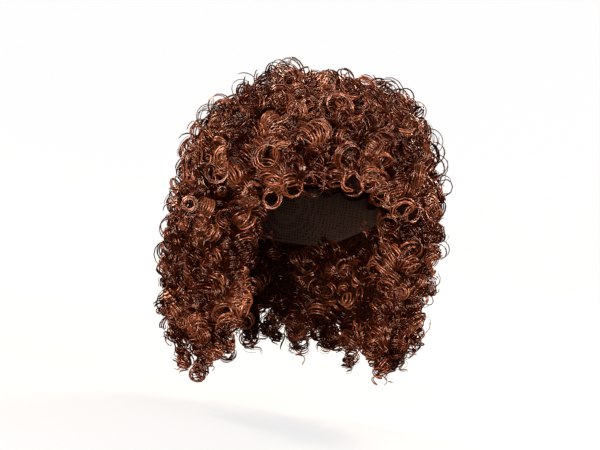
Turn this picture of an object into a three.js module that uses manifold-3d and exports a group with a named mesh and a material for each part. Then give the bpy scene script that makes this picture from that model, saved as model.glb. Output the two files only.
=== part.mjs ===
// A curly, shoulder-length wig with a fringe, in the form it has when worn:
// a net cap, and the masses of ringlets that are sewn to it.
// Millimetres. +Z is up, the fringe is at the front along -Y and +X is the wig's own left.
// The origin is the top of the hollow inside the cap, where the cap rests.
import * as THREE from "three";
import { mergeVertices } from "three/addons/utils/BufferGeometryUtils.js";
import Module from "manifold-3d";

const wasm = await Module();
wasm.setup();

// Hollow inside the cap, half an ellipsoid across, along and down
const HOLLOW = { halfWidth: 77, halfLength: 98, halfHeight: 105 };
const CAP_WALL = 2;
const SEAM_GAP = 0.4;

// Edge of the cap seen from the side, from the front to the back
const CAP_EDGE = [
  { y: -160, z: -56 },
  { y: -84, z: -58 },
  { y: -52, z: -74 },
  { y: -22, z: -108 },
  { y: 8, z: -113 },
  { y: 46, z: -128 },
  { y: 84, z: -148 },
  { y: 160, z: -150 },
];

// Outline of all the hair, a row for each level: how far it reaches from the upright axis
// towards the wig's own right and left and to the front and back
const OUTLINE = [
  { z: 43, right: 0, left: 0, front: 0, back: 0 },
  { z: 37, right: 44, left: 52, front: 46, back: 50 },
  { z: 21, right: 71, left: 88, front: 77, back: 84 },
  { z: -4, right: 100, left: 108, front: 102, back: 110 },
  { z: -32, right: 125, left: 124, front: 119, back: 129 },
  { z: -68, right: 140, left: 137, front: 127, back: 143 },
  { z: -110, right: 145, left: 143, front: 118, back: 148 },
  { z: -152, right: 146, left: 145, front: 106, back: 149 },
  { z: -190, right: 143, left: 144, front: 101, back: 146 },
  { z: -224, right: 138, left: 138, front: 97, back: 139 },
  { z: -256, right: 132, left: 131, front: 95, back: 131 },
  { z: -300, right: 124, left: 122, front: 92, back: 122 },
];
const CORE_DEPTH = 19;
const CORE_TOP_LEVEL = 0.5;

// Upper tier of hair over the lower one: the seam slopes down from the cap to the outline
const SEAM = { innerRadius: 72, innerZ: -56, outerRadius: 140, outerZ: -126 };

// Room between the side masses, open to the front and below
const OPENING = { halfWidth: 70, back: 74, top: -112 };

const TOP = 120;
const BOTTOM = -420;
const REACH = 320;

// Masses of hair, in degrees from the front towards the wig's own left: the sector that each
// one fills, where its core starts and ends, the core's lowest level, and which tier it is in
const MASSES = [
  { name: "fringe", from: -52, to: 52, coreFrom: -52, coreTo: 52, hem: -66, upper: true },
  { name: "crown_hair", from: 52, to: 308, coreFrom: 52, coreTo: 308, hem: BOTTOM, upper: true },
  { name: "right_side_hair", from: -120, to: -32, coreFrom: -120, coreTo: -46, hem: -240, upper: false },
  { name: "left_side_hair", from: 32, to: 120, coreFrom: 46, coreTo: 120, hem: -216, upper: false },
  { name: "back_hair", from: 120, to: 240, coreFrom: 120, coreTo: 240, hem: -230, upper: false },
];

// Rows of twisted locks in each mass: how many, the azimuth and tip height of the first and
// last, the height of their roots, how much shorter every second one is, how much deeper the
// roots start, and how far the whole row lies behind the outer one
const LOCK_ROWS = {
  fringe: [
    { count: 3, from: -34, to: 34, root: 42, tipFrom: -30, tipTo: -30, shorter: 8, sink: 0, inset: 0 },
    { count: 2, from: -45, to: -30, root: -10, tipFrom: -110, tipTo: -98, shorter: 0, sink: 4, inset: 0 },
    { count: 3, from: -15, to: 15, root: -10, tipFrom: -80, tipTo: -80, shorter: 10, sink: 4, inset: 0 },
    { count: 2, from: 30, to: 45, root: -10, tipFrom: -88, tipTo: -94, shorter: 0, sink: 4, inset: 0 },
  ],
  crown_hair: [
    { count: 7, from: 68, to: 292, root: 42, tipFrom: -46, tipTo: -46, shorter: 16, sink: 0, inset: 0 },
    { count: 12, from: 61, to: 299, root: -18, tipFrom: -126, tipTo: -126, shorter: 12, sink: 6, inset: 0 },
  ],
  right_side_hair: [
    { count: 2, from: -49, to: -62, root: -112, tipFrom: -274, tipTo: -294, shorter: 0, sink: 6, inset: 0 },
    { count: 2, from: -75, to: -88, root: -112, tipFrom: -284, tipTo: -260, shorter: 0, sink: 6, inset: 0 },
    { count: 2, from: -100, to: -112, root: -112, tipFrom: -258, tipTo: -266, shorter: 0, sink: 6, inset: 0 },
    { count: 2, from: -58, to: -82, root: -200, tipFrom: -276, tipTo: -258, shorter: 0, sink: 0, inset: 28 },
  ],
  left_side_hair: [
    { count: 6, from: 49, to: 112, root: -112, tipFrom: -262, tipTo: -266, shorter: 12, sink: 6, inset: 0 },
    { count: 2, from: 58, to: 82, root: -180, tipFrom: -240, tipTo: -248, shorter: 0, sink: 0, inset: 28 },
  ],
  back_hair: [
    { count: 8, from: 128, to: 232, root: -112, tipFrom: -270, tipTo: -270, shorter: 12, sink: 6, inset: 0 },
    { count: 2, from: 162, to: 198, root: -200, tipFrom: -256, tipTo: -256, shorter: 0, sink: 0, inset: 28 },
  ],
};

// Shape of every lock: depth of its middle under the outline, radius of its coil and of the lock
// itself, length of a turn, the share of its run over which it rises, and its taper to the tip
const LOCK = { depth: 18, coil: 4.5, tube: 14, pitch: 50, rise: 0.2, tipShare: 0.5, taperPower: 4 };
const LOCK_PHASE_STEP = 2.4;

// Facets of the round forms
const HOLLOW_FACETS = { around: 20, down: 12 };
const CORE_FACETS = 14;
const SEAM_FACETS = 12;
const SECTOR_FACETS = 12;
const CURVE_FACETS = { capEdge: 2, opening: 8 };
const LOCK_FACETS = { around: 5, perTurn: 4 };

// Finishes
const HAIR_FINISH = { color: 0x6b2f1a, roughness: 0.35, metalness: 0 };
const CAP_FINISH = { color: 0x1c100c, roughness: 0.8, metalness: 0 };

const radians = THREE.MathUtils.degToRad;

// Catmull-Rom value between b and c
function spline(a, b, c, d, f) {
  return b + 0.5 * f * (c - a + f * (2 * a - 5 * b + 4 * c - d + f * (3 * (b - c) + d - a)));
}

// Row of the outline at a level counted in rows from the top
function outlineRow(level) {
  const last = OUTLINE.length - 1;
  const i = THREE.MathUtils.clamp(Math.floor(level), 0, last - 1);
  const rows = [i - 1, i, i + 1, i + 2].map((k) => OUTLINE[THREE.MathUtils.clamp(k, 0, last)]);
  const row = {};
  for (const column of Object.keys(OUTLINE[0])) {
    row[column] = spline(...rows.map((r) => r[column]), level - i);
  }
  return row;
}

// Level at which the outline's table reaches a height
function levelAt(z) {
  const i = OUTLINE.findIndex((row, k) => k + 1 === OUTLINE.length - 1 || OUTLINE[k + 1].z <= z);
  return i + (OUTLINE[i].z - z) / (OUTLINE[i].z - OUTLINE[i + 1].z);
}

function outlinePoint(azimuth, level) {
  const row = outlineRow(level);
  const across = Math.sin(azimuth) > 0 ? row.left : row.right;
  const along = Math.cos(azimuth) > 0 ? row.front : row.back;
  return new THREE.Vector3(across * Math.sin(azimuth), -along * Math.cos(azimuth), row.z);
}

function outlineNormal(azimuth, level) {
  const step = 0.02;
  const around = outlinePoint(azimuth + step, level).sub(outlinePoint(azimuth - step, level));
  const down = outlinePoint(azimuth, level + step).sub(outlinePoint(azimuth, level - step));
  return down.cross(around).normalize();
}

// Point that lies a depth under the outline
function pointUnder(azimuth, level, depth) {
  return outlinePoint(azimuth, level).addScaledVector(outlineNormal(azimuth, level), -depth);
}

// Closed skin through rings of points, with a fan over each end
function loft(rings) {
  const sides = rings[0].length;
  const middle = (ring) => ring.reduce((sum, p) => sum.add(p), new THREE.Vector3()).divideScalar(sides);
  const points = [...rings.flat(), middle(rings[0]), middle(rings.at(-1))];
  const first = rings.length * sides;
  const end = first - sides;
  const index = [];
  for (let j = 0; j < sides; j++) {
    const k = (j + 1) % sides;
    for (let i = 0; i + 1 < rings.length; i++) {
      const a = i * sides;
      const b = a + sides;
      index.push(a + j, b + j, b + k, a + j, b + k, a + k);
    }
    index.push(first, j, k, first + 1, end + k, end + j);
  }
  return new THREE.BufferGeometry().setFromPoints(points).setIndex(index);
}

// Solid from a closed geometry, turned so that its faces point out
function solid(geometry) {
  const bare = geometry.clone();
  bare.deleteAttribute("normal");
  bare.deleteAttribute("uv");
  const merged = mergeVertices(bare, 1e-3);
  const corners = merged.index.array;
  const position = merged.attributes.position;
  const [a, b, c] = [new THREE.Vector3(), new THREE.Vector3(), new THREE.Vector3()];
  const triangles = [];
  let volume = 0;
  for (let i = 0; i < corners.length; i += 3) {
    const [p, q, r] = corners.slice(i, i + 3);
    if (p !== q && q !== r && r !== p) {
      triangles.push([p, q, r]);
      a.fromBufferAttribute(position, p);
      b.fromBufferAttribute(position, q);
      c.fromBufferAttribute(position, r);
      volume += a.dot(b.cross(c));
    }
  }
  const facing = volume < 0 ? triangles.map(([p, q, r]) => [p, r, q]) : triangles;
  const mesh = new wasm.Mesh({
    numProp: 3,
    vertProperties: Float32Array.from(position.array),
    triVerts: Uint32Array.from(facing.flat()),
  });
  return new wasm.Manifold(mesh);
}

function geometryOf(body) {
  const mesh = body.getMesh();
  const geometry = new THREE.BufferGeometry();
  geometry.setAttribute("position", new THREE.BufferAttribute(mesh.vertProperties, 3));
  geometry.setIndex(new THREE.BufferAttribute(mesh.triVerts, 1));
  geometry.computeVertexNormals();
  return geometry;
}

// The hollow inside the cap, grown by a clearance
function hollowSolid(clearance) {
  const ball = new THREE.SphereGeometry(1, HOLLOW_FACETS.around, HOLLOW_FACETS.down).rotateX(Math.PI / 2);
  const { halfWidth, halfLength, halfHeight } = HOLLOW;
  ball.scale(halfWidth + clearance, halfLength + clearance, halfHeight + clearance);
  return solid(ball.translate(0, 0, -halfHeight));
}

// Everything below the edge of the cap, a side view carried across it
function belowCapEdge() {
  const edge = CAP_EDGE.map(({ y, z }) => new THREE.Vector2(y, z));
  const shape = new THREE.Shape().moveTo(edge[0].x, edge[0].y).splineThru(edge.slice(1));
  shape.lineTo(edge.at(-1).x, BOTTOM).lineTo(edge[0].x, BOTTOM);
  const block = new THREE.ExtrudeGeometry(shape, {
    depth: 2 * REACH,
    bevelEnabled: false,
    curveSegments: CURVE_FACETS.capEdge,
  });
  const across = new THREE.Matrix4().makeBasis(
    new THREE.Vector3(0, 1, 0),
    new THREE.Vector3(0, 0, 1),
    new THREE.Vector3(1, 0, 0),
  );
  return solid(block.applyMatrix4(across).translate(-REACH, 0, 0));
}

// Upright block over a sector, drawn back from its borders by half the gap between masses
function sectorBlock(from, to, low) {
  const middle = radians((from + to) / 2);
  const half = radians((to - from) / 2);
  const shift = SEAM_GAP / 2 / Math.sin(half);
  const apex = new THREE.Vector2(shift * Math.sin(middle), -shift * Math.cos(middle));
  const rim = Array.from({ length: SECTOR_FACETS + 1 }, (_, i) => {
    const azimuth = middle + half * ((2 * i) / SECTOR_FACETS - 1);
    return new THREE.Vector2(REACH * Math.sin(azimuth), -REACH * Math.cos(azimuth)).add(apex);
  });
  const block = new THREE.ExtrudeGeometry(new THREE.Shape([apex, ...rim]), {
    depth: TOP - low,
    bevelEnabled: false,
  });
  return solid(block.translate(0, 0, low));
}

// The tier above or below the sloping seam
function tier(upper) {
  const slope = (SEAM.outerZ - SEAM.innerZ) / (SEAM.outerRadius - SEAM.innerRadius);
  const seamAt = (radius) => SEAM.innerZ + slope * (radius - SEAM.innerRadius);
  const lift = ((upper ? 1 : -1) * SEAM_GAP) / 2;
  const far = upper ? TOP : BOTTOM;
  const profile = [
    new THREE.Vector2(0, far),
    new THREE.Vector2(REACH, far),
    new THREE.Vector2(REACH, seamAt(REACH) + lift),
    new THREE.Vector2(SEAM.innerRadius, SEAM.innerZ + lift),
    new THREE.Vector2(0, SEAM.innerZ + lift),
  ];
  return solid(new THREE.LatheGeometry(profile, SEAM_FACETS).rotateX(Math.PI / 2));
}

// Room between the side masses
function openFront() {
  const { halfWidth, back, top } = OPENING;
  const plan = new THREE.Shape().moveTo(-halfWidth, -REACH).lineTo(halfWidth, -REACH);
  plan.lineTo(halfWidth, 0).absellipse(0, 0, halfWidth, back, 0, Math.PI, false);
  const block = new THREE.ExtrudeGeometry(plan, {
    depth: top - BOTTOM,
    bevelEnabled: false,
    curveSegments: CURVE_FACETS.opening,
  });
  return solid(block.translate(0, 0, BOTTOM));
}

// Inner body of the hair, under the locks
function hairCore() {
  const last = OUTLINE.length - 1;
  const rings = [];
  for (let level = CORE_TOP_LEVEL; level <= last; level += 1) {
    const ring = Array.from({ length: CORE_FACETS }, (_, i) =>
      pointUnder((2 * Math.PI * i) / CORE_FACETS, level, CORE_DEPTH),
    );
    rings.push(ring);
  }
  return solid(loft(rings));
}

// One lock, a tapering column that winds round its path like a corkscrew
function lock(azimuth, root, tip, rootDepth, depth, phase) {
  const levels = [levelAt(root), levelAt(tip)];
  const steps = Math.round(((root - tip) / LOCK.pitch) * LOCK_FACETS.perTurn);
  const near = 0.1 / steps;
  const pathPoint = (share) => {
    const level = THREE.MathUtils.lerp(...levels, share);
    const risen = THREE.MathUtils.smoothstep(share, 0, LOCK.rise);
    return pointUnder(azimuth, level, THREE.MathUtils.lerp(rootDepth, depth, risen));
  };
  const rings = [];
  for (let i = 0; i <= steps; i++) {
    const share = i / steps;
    const centre = pathPoint(share);
    const out = outlineNormal(azimuth, THREE.MathUtils.lerp(...levels, share));
    const along = pathPoint(share + near).sub(pathPoint(share - near)).normalize();
    const aside = new THREE.Vector3().crossVectors(along, out).normalize();
    const turn = phase + (2 * Math.PI * i) / LOCK_FACETS.perTurn;
    centre.addScaledVector(out, LOCK.coil * Math.cos(turn));
    centre.addScaledVector(aside, LOCK.coil * Math.sin(turn));
    const radius = LOCK.tube * (1 - (1 - LOCK.tipShare) * share ** LOCK.taperPower);
    const ring = Array.from({ length: LOCK_FACETS.around }, (_, j) => {
      const angle = (2 * Math.PI * j) / LOCK_FACETS.around;
      const rim = centre.clone().addScaledVector(out, radius * Math.cos(angle));
      return rim.addScaledVector(aside, radius * Math.sin(angle));
    });
    rings.push(ring);
  }
  return solid(loft(rings));
}

// All the locks of one mass
function locksOf(name) {
  const locks = [];
  for (const row of LOCK_ROWS[name]) {
    const depth = LOCK.depth + row.inset;
    for (let i = 0; i < row.count; i++) {
      const share = i / (row.count - 1);
      const azimuth = radians(THREE.MathUtils.lerp(row.from, row.to, share));
      const tip = THREE.MathUtils.lerp(row.tipFrom, row.tipTo, share) + (i % 2) * row.shorter;
      const phase = LOCK_PHASE_STEP * locks.length;
      locks.push(lock(azimuth, row.root, tip, depth + row.sink, depth, phase));
    }
  }
  return locks;
}

// The main body, without the crumbs and sealed bubbles that cuts leave
function largestBody(body) {
  return body.decompose().reduce((best, one) => (one.volume() > best.volume() ? one : best));
}

function hairMass(mass, core, cavity) {
  const backing = core.intersect(sectorBlock(mass.coreFrom, mass.coreTo, mass.hem));
  const grown = wasm.Manifold.union([backing, ...locksOf(mass.name)]);
  const trimmed = grown.intersect(sectorBlock(mass.from, mass.to, BOTTOM)).intersect(tier(mass.upper));
  return largestBody(trimmed.subtract(cavity));
}

function named(name, body, finish) {
  const mesh = new THREE.Mesh(geometryOf(body), new THREE.MeshStandardMaterial(finish));
  mesh.name = name;
  return mesh;
}

const wig = new THREE.Group();
const capSolid = hollowSolid(CAP_WALL).subtract(hollowSolid(0)).subtract(belowCapEdge());
wig.add(named("cap", capSolid, CAP_FINISH));

const core = hairCore();
const cavity = hollowSolid(CAP_WALL + SEAM_GAP).add(openFront());
for (const mass of MASSES) {
  wig.add(named(mass.name, hairMass(mass, core, cavity), HAIR_FINISH));
}

export default wig;
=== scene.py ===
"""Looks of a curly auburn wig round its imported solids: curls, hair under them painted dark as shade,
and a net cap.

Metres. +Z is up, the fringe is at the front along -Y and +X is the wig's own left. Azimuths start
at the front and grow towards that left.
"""

import math

import bpy
import numpy as np
from mathutils import Matrix, Vector


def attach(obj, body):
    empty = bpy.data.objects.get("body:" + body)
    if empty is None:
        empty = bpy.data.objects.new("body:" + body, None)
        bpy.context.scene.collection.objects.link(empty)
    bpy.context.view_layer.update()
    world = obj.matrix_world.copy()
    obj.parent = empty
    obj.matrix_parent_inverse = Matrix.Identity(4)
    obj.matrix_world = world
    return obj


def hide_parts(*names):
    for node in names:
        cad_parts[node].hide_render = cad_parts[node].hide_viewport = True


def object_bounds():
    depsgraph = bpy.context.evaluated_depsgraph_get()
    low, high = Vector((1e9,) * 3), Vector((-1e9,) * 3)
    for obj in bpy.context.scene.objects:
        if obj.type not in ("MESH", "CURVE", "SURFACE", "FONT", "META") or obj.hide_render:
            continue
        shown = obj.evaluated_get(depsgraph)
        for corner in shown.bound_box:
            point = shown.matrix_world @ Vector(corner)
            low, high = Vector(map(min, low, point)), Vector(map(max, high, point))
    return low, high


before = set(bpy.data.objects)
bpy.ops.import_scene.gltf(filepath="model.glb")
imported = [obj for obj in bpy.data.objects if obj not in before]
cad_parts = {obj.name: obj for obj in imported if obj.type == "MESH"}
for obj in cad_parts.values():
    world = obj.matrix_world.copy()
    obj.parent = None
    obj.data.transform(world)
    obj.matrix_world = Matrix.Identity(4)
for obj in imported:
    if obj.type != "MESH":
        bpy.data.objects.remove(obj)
cad_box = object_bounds()

# Camera: where it looks from, its roll, and the point of the wig that it sets at a place in the frame
FRAME_WIDTH = 600
FRAME_HEIGHT = 450
VIEW_AZIMUTH = math.radians(-15)
VIEW_ELEVATION = math.radians(2)
VIEW_ROLL = math.radians(9.5)
VIEW_DISTANCE = 2.4
VIEW_POINT = Vector((0, -0.09, -0.118))
VIEW_POINT_PIXEL = (330, 227)
METRES_PER_PIXEL = 0.00103
SENSOR_WIDTH = 36

# Stage: a pale floor that curves up into a wide bowl all round
FLOOR_Z = -0.33
FLOOR_TONE = 0.13
FLOOR_GLOW = (0.74, 0.95)
FLOOR_GLOW_AWAY = (0.6, 3.0)
FLOOR_ROUGHNESS = 0.8
BOWL_RADIUS = 5.6
BOWL_FLAT = 2.8
BOWL_HEIGHT = 5.0
BOWL_AROUND = 64
BOWL_UP = 12

# Lights: name, place, size, power and colour, all turned to the middle of the wig
WHITE = (1, 1, 1)
WARM = (1, 0.78, 0.62)
LIGHTS = (
    ("key", (-1.5, -1.8, 0.25), 1.0, 80, WHITE),
    ("front", (-0.6, -2.2, -0.25), 0.7, 32, WHITE),
    ("fill", (1.7, -1.5, 0.0), 0.8, 72, WHITE),
    ("top", (0.1, -0.1, 2.0), 0.9, 10, WHITE),
    ("back_left", (-1.5, 1.8, 1.2), 0.9, 70, WARM),
    ("back_right", (1.5, 1.8, 1.2), 0.9, 70, WARM),
)
LIGHT_TARGET = Vector((0, 0, -0.11))
WORLD_TONE = (1, 0.72, 0.58, 1)
WORLD_STRENGTH = 0.06

# Hollow inside the cap, half across, along and down, and the cap's wall
HOLLOW = np.array((0.077, 0.098, 0.105))
CAP_WALL = 0.002

# Edge of the cap seen from the side, from the front to the back: y and z
CAP_EDGE = np.array(
    (
        (-0.160, -0.056),
        (-0.084, -0.058),
        (-0.052, -0.074),
        (-0.022, -0.108),
        (0.008, -0.113),
        (0.046, -0.128),
        (0.084, -0.148),
        (0.160, -0.150),
    )
)

# Mesh of the cap: points on its edge, faces round and down it, and how its edge is looked for
CAP_EDGE_POINTS = 200
CAP_AROUND = 96
CAP_DOWN = 40
CAP_POLE = 0.002
CAP_SEARCH = (math.pi * 0.8, 800)

# Rows of wefts sewn inside the cap, and its bound edge
WEFT_SPACING = 0.014
WEFT_HEIGHT = 0.0007
WEFT_RISE = (0.4, 1)
BINDING_HEIGHT = 0.0012
BINDING_WIDTH = 0.008

# Outline of the hair at each level: its height, and its reach to the right, left, front and back
OUTLINE = np.array(
    (
        (0.043, 0.000, 0.000, 0.000, 0.000),
        (0.037, 0.044, 0.052, 0.046, 0.050),
        (0.021, 0.071, 0.088, 0.077, 0.084),
        (-0.004, 0.100, 0.108, 0.102, 0.110),
        (-0.032, 0.125, 0.124, 0.119, 0.129),
        (-0.068, 0.140, 0.137, 0.127, 0.143),
        (-0.110, 0.145, 0.143, 0.118, 0.148),
        (-0.152, 0.146, 0.145, 0.106, 0.149),
        (-0.190, 0.143, 0.144, 0.101, 0.146),
        (-0.224, 0.138, 0.138, 0.097, 0.139),
        (-0.256, 0.132, 0.131, 0.095, 0.131),
        (-0.300, 0.124, 0.122, 0.092, 0.122),
    )
)
LAST_LEVEL = len(OUTLINE) - 1
OUTLINE_STEP = 0.02

# Room between the side masses, open to the front and below
OPENING_HALF_WIDTH = 0.070
OPENING_BACK = 0.074
OPENING_TOP = -0.112
OPENING_LEAST_SINE = 0.2

# Rows of locks in each mass, as in the solids, with azimuths in degrees: lock_rows tells the columns
LOCK_ROWS = {
    "fringe": (
        (3, -34, 34, 0.042, -0.030, -0.030, 0.008, 0, 0),
        (2, -45, -30, -0.010, -0.110, -0.098, 0, 0.004, 0),
        (3, -15, 15, -0.010, -0.080, -0.080, 0.010, 0.004, 0),
        (2, 30, 45, -0.010, -0.088, -0.094, 0, 0.004, 0),
    ),
    "crown_hair": (
        (7, 68, 292, 0.042, -0.046, -0.046, 0.016, 0, 0),
        (12, 61, 299, -0.018, -0.126, -0.126, 0.012, 0.006, 0),
    ),
    "right_side_hair": (
        (2, -49, -62, -0.112, -0.274, -0.294, 0, 0.006, 0),
        (2, -75, -88, -0.112, -0.284, -0.260, 0, 0.006, 0),
        (2, -100, -112, -0.112, -0.258, -0.266, 0, 0.006, 0),
        (2, -58, -82, -0.200, -0.276, -0.258, 0, 0, 0.028),
    ),
    "left_side_hair": (
        (6, 49, 112, -0.112, -0.262, -0.266, 0.012, 0.006, 0),
        (2, 58, 82, -0.180, -0.240, -0.248, 0, 0, 0.028),
    ),
    "back_hair": (
        (8, 128, 232, -0.112, -0.270, -0.270, 0.012, 0.006, 0),
        (2, 162, 198, -0.200, -0.256, -0.256, 0, 0, 0.028),
    ),
}
LOCK_DEPTH = 0.018
LOCK_COIL = 0.0045
LOCK_PITCH = 0.050
LOCK_RISE = 0.2
LOCK_PHASE_STEP = 2.4
LOCK_LENGTH_POINTS = 20

# Hair under the curls, painted near black as shade: its depth under the outline, and its distance from
# the hollow
UNDER_DEPTH = 0.017
UNDER_CLEARANCE = 0.004
UNDER_TOP_GAP = 0.0005
UNDER_INNER_DROP = 0.02
UNDER_LEAST_WALL = 0.001
UNDER_TOP_LEVEL = 0.25

# Lumps of the hair under the curls: their height, number and radians to a metre
UNDER_LUMP = 0.0016
UNDER_LUMPS = 6
UNDER_LUMP_WAVE = 130

# Hems of the hair under the curls: first and last azimuth of a sector in degrees, and the heights there
UNDER_HEMS = (
    (-56, -20, -0.082, -0.072),
    (-20, 20, -0.066, -0.066),
    (20, 56, -0.072, -0.078),
    (56, 120, -0.228, -0.230),
    (120, 240, -0.230, -0.230),
    (240, 304, -0.230, -0.222),
)
UNDER_RAGGED = 0.008
UNDER_COLUMNS_PER_TOOTH = 3

# Mesh of the dark hair: spacing of its points, and the radius at which its columns are counted
UNDER_STEP = 0.006
UNDER_RADIUS = 0.13
UNDER_LEAST_COLUMNS = 8

# Half the width and the flatness of wide ribbons and of fine fibres, and the corners round a strand
RIBBON_HALF_WIDTH = (0.0009, 0.0014)
RIBBON_FLATNESS = 0.6
FIBRE_HALF_WIDTH = (0.00035, 0.0006)
FIBRE_FLATNESS = 0.7
STRAND_SIDES = 3

# Points in one turn of a curl, for a small and for a large radius, and the fewest in a strand
POINTS_PER_TURN = ((0.006, 0.013), (9, 16))
LEAST_POINTS = 4

# Rows of tones on the strands' map, and the part of each row that is used
TONES = 24
TONE_ROW_USED = (0.2, 0.8)

# Taper of a strand: how much thinner its tip is, its width at the root and where it is full
TIP_TAPER = 0.55
TIP_TAPER_POWER = 4
ROOT_WIDTH = 0.4
ROOT_SHARE = 0.08

# Strands of one curl: how close they lie, how unevenly, and their spread at the root and the tip
BAND_PACKING = 1.05
BAND_JITTER = 0.0003
BAND_SPREAD = (0.8, 1.3)

# Unevenness of a curl's turns and size along it, and from one of its strands to the next
TURN_WAVE = 0.4
TURN_WAVES = (0.7, 2)
ROOT_DRIFT = 0.12
TIP_DRIFT = 0.25
SIZE_WAVE = 0.08
SIZE_WAVES = (0.5, 2.5)
SIZE_LEAN = 0.35
SIZE_JITTER = 0.04
TIP_SHIFT = 0.0012

# Tones of curls, from dark brown at 0 to copper at 1, and how they vary in one curl
TONE_SHAPE = (1.4, 1.6)
TONE_JITTER = 0.18
TONE_LIMITS = (0.01, 0.99)

# Short curls, and the radius under which they have one ribbon less
CURL_TURNS = (1.6, 2.7)
CURL_BEND = 0.003
CURL_DROOP = (0.002, 0.010)
CURL_ROOT_SIZE = 1.1
CURL_END = (0.7, 1)
CURL_END_TAPER = 0.25
CURL_RIBBONS = (2, 3)
CURL_FIBRES = (0, 1)
SMALL_RADIUS = 0.0075

# Places of short curls round a lock, and along its tip
CURL_AROUND = 1.3
CURL_OFFSET = (-0.003, 0.005)
TIP_SHARES = (0.75, 1)
TIP_SPACING = 0.009

# Share of the short curls that face outwards, and their form
FACING_SHARE = 0.45
FACING_LEAN = 0.5
FACING_SAG = 0.1
FACING_REACH = 0.7
FACING_SIZE = 1.15
FACING_NARROWING = (0.2, 0.8)

# Form of the short curls that lie on their side
LYING_SWING = 1.5
LYING_SAG = (0.1, 1.2)
LYING_NARROWING = (0, 0.35)

# Tries for the place of each curl that is spread evenly
EVEN_TRIES = 12

# Curls between the locks
FILL_DEPTH = (0.012, 0.019)
FILL_REACH = (0.008, 0.016)
FILL_RADIUS = (0.008, 0.012)

# Curls on the inner walls of the hanging masses
INNER_OFFSET = (0.001, 0.006)
INNER_REACH = (0.004, 0.011)
INNER_RADIUS = (0.006, 0.010)

# Curls on the front edges of the side masses
EDGE_INSET = 0.008
EDGE_DEPTH = (-0.005, 0.008)
EDGE_REACH = (0.006, 0.014)
EDGE_RADIUS = (0.006, 0.0105)

# Large flat curls
ROSETTE_LEAN = 0.6
ROSETTE_TURNS = (0.9, 2.3)
ROSETTE_DEPTH = (0.001, 0.007)
ROSETTE_LENGTH = (0.003, 0.010)
ROSETTE_NARROWING = (0.1, 0.7)
ROSETTE_TONES = (0.2, 0.95)
ROSETTE_RIBBONS = 3
ROSETTE_FIBRES = (0, 1)
ROSETTE_LOOSE = 0.6

# Loops along the lower edge of the fringe
LOOP_FACING = 0.35
LOOP_LEAN = 0.2
LOOP_SAG = 0.1
LOOP_DEPTH = (0.004, 0.010)
LOOP_TURNS = (0.8, 1.3)
LOOP_RADIUS = (0.0080, 0.0125)
LOOP_LENGTH = 0.007
LOOP_NARROWING = 0.25
LOOP_TONES = (0.6, 1.0)
LOOP_RIBBONS = 2
LOOP_FIBRES = 1

# Long ringlets
RINGLET_RADIUS = (0.0048, 0.0075)
RINGLET_PITCH = (0.0080, 0.0115)
RINGLET_TURN = 0.25
RINGLET_APART = (0.004, 0.009)
RINGLET_FIRST = (0, 0.12)
RINGLET_LAST = (0.86, 1.0)
RINGLET_BULGE = 0.2
RINGLET_BULGES = (1, 4)
RINGLET_END = (0.8, 1.05)
RINGLET_END_TAPER = 0.3
RINGLET_RIBBONS = (1, 2)
RINGLET_FIBRES = 2

# Slow sideways waves of the ringlets: how many are added up, their number along a lock and their size
SWAY_COUNT = 2
SWAY_WAVES = (1, 3.5)
SWAY_SIZE = 0.0018

# Single loops that stand out of the outline
FLY_LEAN = 0.2
FLY_TURNS = (0.9, 1.6)
FLY_RADIUS = (0.0070, 0.0130)
FLY_FINER = 1.3
FLY_OFFSET = (-0.004, 0.003)
FLY_LENGTH = (0.010, 0.022)
FLY_NARROWING = 0.2
FLY_TONE = 0.35
FLY_RIBBONS = (1, 2)

# Patches of darker and brighter hair: waves in radians to a metre, their phases and their strength
CLUMP_WAVES = np.array(((95, 40, 60), (-50, 90, -70), (60, -75, 100), (-85, -60, 45)))
CLUMP_PHASES = np.array((4.57, 2.38, 4.83, 6.04))
CLUMP_STRENGTH = 0.22

# How far strands may stand out of the solids' box
REACH_OVER_BOX = 0.007

# Curls on the upper locks: piece, node, rows, seed, spacing, radii, reach and part of each lock
UPPER_CURLS = (
    ("fringe_top_curls", "fringe", (0, 1), 11, 0.0075, (0.0085, 0.0130), (0.010, 0.022), (0, 1)),
    ("fringe_curls", "fringe", (1, 4), 12, 0.0062, (0.0080, 0.0120), (0.008, 0.018), (0, 0.88)),
    ("crown_top_curls", "crown_hair", (0, 1), 23, 0.0075, (0.0085, 0.0130), (0.010, 0.022), (0, 1)),
    ("crown_curls", "crown_hair", (1, 2), 24, 0.0072, (0.0080, 0.0120), (0.010, 0.022), (0, 1)),
)

# Loops along the lower edge of the fringe: seed, and azimuth in degrees and height
FRINGE_LOOP_SEED = 15
FRINGE_LOOPS = (
    (-39, -0.098),
    (-30, -0.100),
    (-22, -0.086),
    (-14, -0.078),
    (-6, -0.063),
    (3, -0.071),
    (10, -0.066),
    (18, -0.080),
    (24, -0.080),
    (30, -0.087),
    (37, -0.090),
)

# Curls between the upper locks: seed, and number, azimuths and heights
FILL_CURL_SEED = 31
FILL_CURLS = (
    (110, (52, 308), (-0.105, 0.040)),
    (42, (-52, 52), (-0.066, 0.040)),
)

# Large flat curls on the upper masses: seed, and number, azimuths, heights and radii
CROWN_ROSETTE_SEED = 37
CROWN_ROSETTES = (
    (58, (48, 312), (-0.09, 0.036), (0.0105, 0.0155)),
    (22, (-48, 48), (-0.064, 0.036), (0.0105, 0.0150)),
)

# Single loops on the outline: seed, and number, azimuths, heights and tilt
FLY_AWAY_SEED = 91
FLY_AWAYS = (
    (66, (0, 360), (0.000, 0.037), 0.6),
    (84, (0, 360), (-0.06, 0.000), 0.5),
    (90, (55, 305), (-0.235, -0.11), 0.5),
)

# Radii and reach of the curls on hanging locks, and of those at their tips
HANGING_RADIUS = (0.0050, 0.0085)
HANGING_REACH = (0.008, 0.020)
TIP_RADIUS = (0.0060, 0.0090)
TIP_REACH = (0.004, 0.010)

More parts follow.
